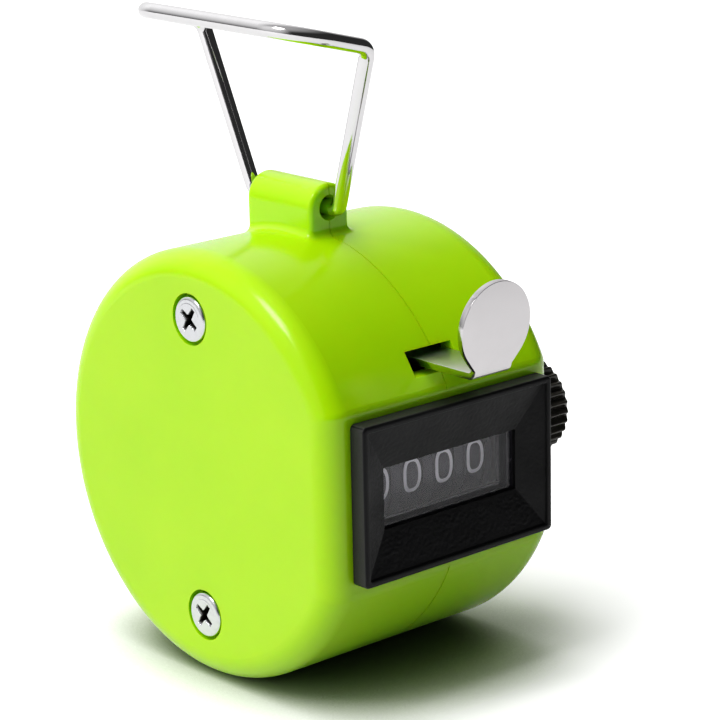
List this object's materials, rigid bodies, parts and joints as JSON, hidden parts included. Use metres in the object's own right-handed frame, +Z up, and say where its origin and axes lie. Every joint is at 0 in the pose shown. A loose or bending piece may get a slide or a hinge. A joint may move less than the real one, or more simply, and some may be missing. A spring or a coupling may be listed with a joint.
{
  "type": "hand tally counter",
  "caption": "Drum-shaped hand tally counter with digit window, thumb lever, reset knob and folding finger ring.",
  "frame": {"origin": "bottom centre of the bounding box of the whole counter at rest, finger ring up; the lowest line of the drum lies in Z = 0", "axes": "+X along the drum axis towards the reset knob, -Y towards the digit window, +Z up towards the finger ring"},
  "size_m": [0.0408, 0.0504, 0.0687],
  "materials": {
    "green_plastic": "glossy",
    "black_bezel": "satin, fine grain",
    "clear_lens": "clear",
    "zinc_screw": "bright zinc",
    "chrome_lever": "polished",
    "chrome_ring": "polished",
    "frame_steel": "plain",
    "shaft_steel": "ground",
    "spring_steel": "bright",
    "wheel_plastic": "matt",
    "pinion_plastic": "natural",
    "knob_plastic": "satin"
  },
  "bodies": {
    "case": {"case_left": "green_plastic", "case_right": "green_plastic", "bezel": "black_bezel", "window_lens": "clear_lens", "case_screws": "zinc_screw", "frame_plate_left": "frame_steel", "frame_plate_right": "frame_steel", "screw_sleeves": "frame_steel", "frame_posts": "frame_steel", "pinion_shaft": "shaft_steel", "lever_pivot_pin": "shaft_steel", "detent_spring": "spring_steel", "return_spring": "spring_steel", "spring_anchor_pin": "shaft_steel"},
    "thousands_wheel_body": {"thousands_wheel": "wheel_plastic"},
    "hundreds_wheel_body": {"hundreds_wheel": "wheel_plastic"},
    "tens_wheel_body": {"tens_wheel": "wheel_plastic"},
    "units_wheel_body": {"units_wheel": "wheel_plastic", "units_ratchet": "pinion_plastic"},
    "pinion_units_tens_body": {"carry_pinion_units_tens": "pinion_plastic"},
    "pinion_tens_hundreds_body": {"carry_pinion_tens_hundreds": "pinion_plastic"},
    "pinion_hundreds_thousands_body": {"carry_pinion_hundreds_thousands": "pinion_plastic"},
    "thumb_lever_body": {"thumb_lever": "chrome_lever", "lever_yoke": "frame_steel", "pawl_rivet": "frame_steel"},
    "drive_pawl_body": {"drive_pawl": "frame_steel"},
    "reset_body": {"reset_shaft": "shaft_steel", "reset_knob": "knob_plastic", "shaft_clip": "spring_steel"},
    "finger_ring_body": {"finger_ring": "chrome_ring"}
  },
  "joints": [
    {"name": "units_wheel_spin", "type": "hinge", "parent": "case", "child": "units_wheel_body", "pos_m": [-0.00443, -0.00552, 0.0227], "axis": [1, 0, 0], "continuous": true},
    {"name": "tens_wheel_spin", "type": "hinge", "parent": "case", "child": "tens_wheel_body", "pos_m": [-0.00443, -0.00552, 0.0227], "axis": [1, 0, 0], "continuous": true},
    {"name": "hundreds_wheel_spin", "type": "hinge", "parent": "case", "child": "hundreds_wheel_body", "pos_m": [-0.00443, -0.00552, 0.0227], "axis": [1, 0, 0], "continuous": true},
    {"name": "thousands_wheel_spin", "type": "hinge", "parent": "case", "child": "thousands_wheel_body", "pos_m": [-0.00443, -0.00552, 0.0227], "axis": [1, 0, 0], "continuous": true},
    {"name": "pinion_units_tens_spin", "type": "hinge", "parent": "case", "child": "pinion_units_tens_body", "pos_m": [-0.00005, 0.004, 0.01826], "axis": [1, 0, 0], "continuous": true},
    {"name": "pinion_tens_hundreds_spin", "type": "hinge", "parent": "case", "child": "pinion_tens_hundreds_body", "pos_m": [-0.00443, 0.004, 0.01826], "axis": [1, 0, 0], "continuous": true},
    {"name": "pinion_hundreds_thousands_spin", "type": "hinge", "parent": "case", "child": "pinion_hundreds_thousands_body", "pos_m": [-0.00881, 0.004, 0.01826], "axis": [1, 0, 0], "continuous": true},
    {"name": "thumb_lever_press", "type": "hinge", "parent": "case", "child": "thumb_lever_body", "pos_m": [-0.00443, -0.01112, 0.0349], "axis": [1, 0, 0], "range_deg": [0, 8], "stiffness_Nm_per_rad": 0.08, "springref_deg": -14.32, "deforming": ["return_spring"]},
    {"name": "drive_pawl_swing", "type": "hinge", "parent": "thumb_lever_body", "child": "drive_pawl_body", "pos_m": [0.00458, -0.00072, 0.0349], "axis": [1, 0, 0], "range_deg": [0, 12], "stiffness_Nm_per_rad": 0.002, "springref_deg": -17.19},
    {"name": "reset_knob_turn", "type": "hinge", "parent": "case", "child": "reset_body", "pos_m": [-0.00443, -0.00552, 0.0227], "axis": [1, 0, 0], "continuous": true},
    {"name": "finger_ring_swing", "type": "hinge", "parent": "case", "child": "finger_ring_body", "pos_m": [-0.00443, 0.00443, 0.04765], "axis": [0, 1, 0], "range_deg": [-80, 90]}
  ],
  "couplings": [
    {"joint": "tens_wheel_spin", "follows": "units_wheel_spin", "ratio": 0.1},
    {"joint": "hundreds_wheel_spin", "follows": "units_wheel_spin", "ratio": 0.01},
    {"joint": "thousands_wheel_spin", "follows": "units_wheel_spin", "ratio": 0.001},
    {"joint": "pinion_units_tens_spin", "follows": "units_wheel_spin", "ratio": -0.25},
    {"joint": "pinion_tens_hundreds_spin", "follows": "units_wheel_spin", "ratio": -0.025},
    {"joint": "pinion_hundreds_thousands_spin", "follows": "units_wheel_spin", "ratio": -0.0025}
  ]
}
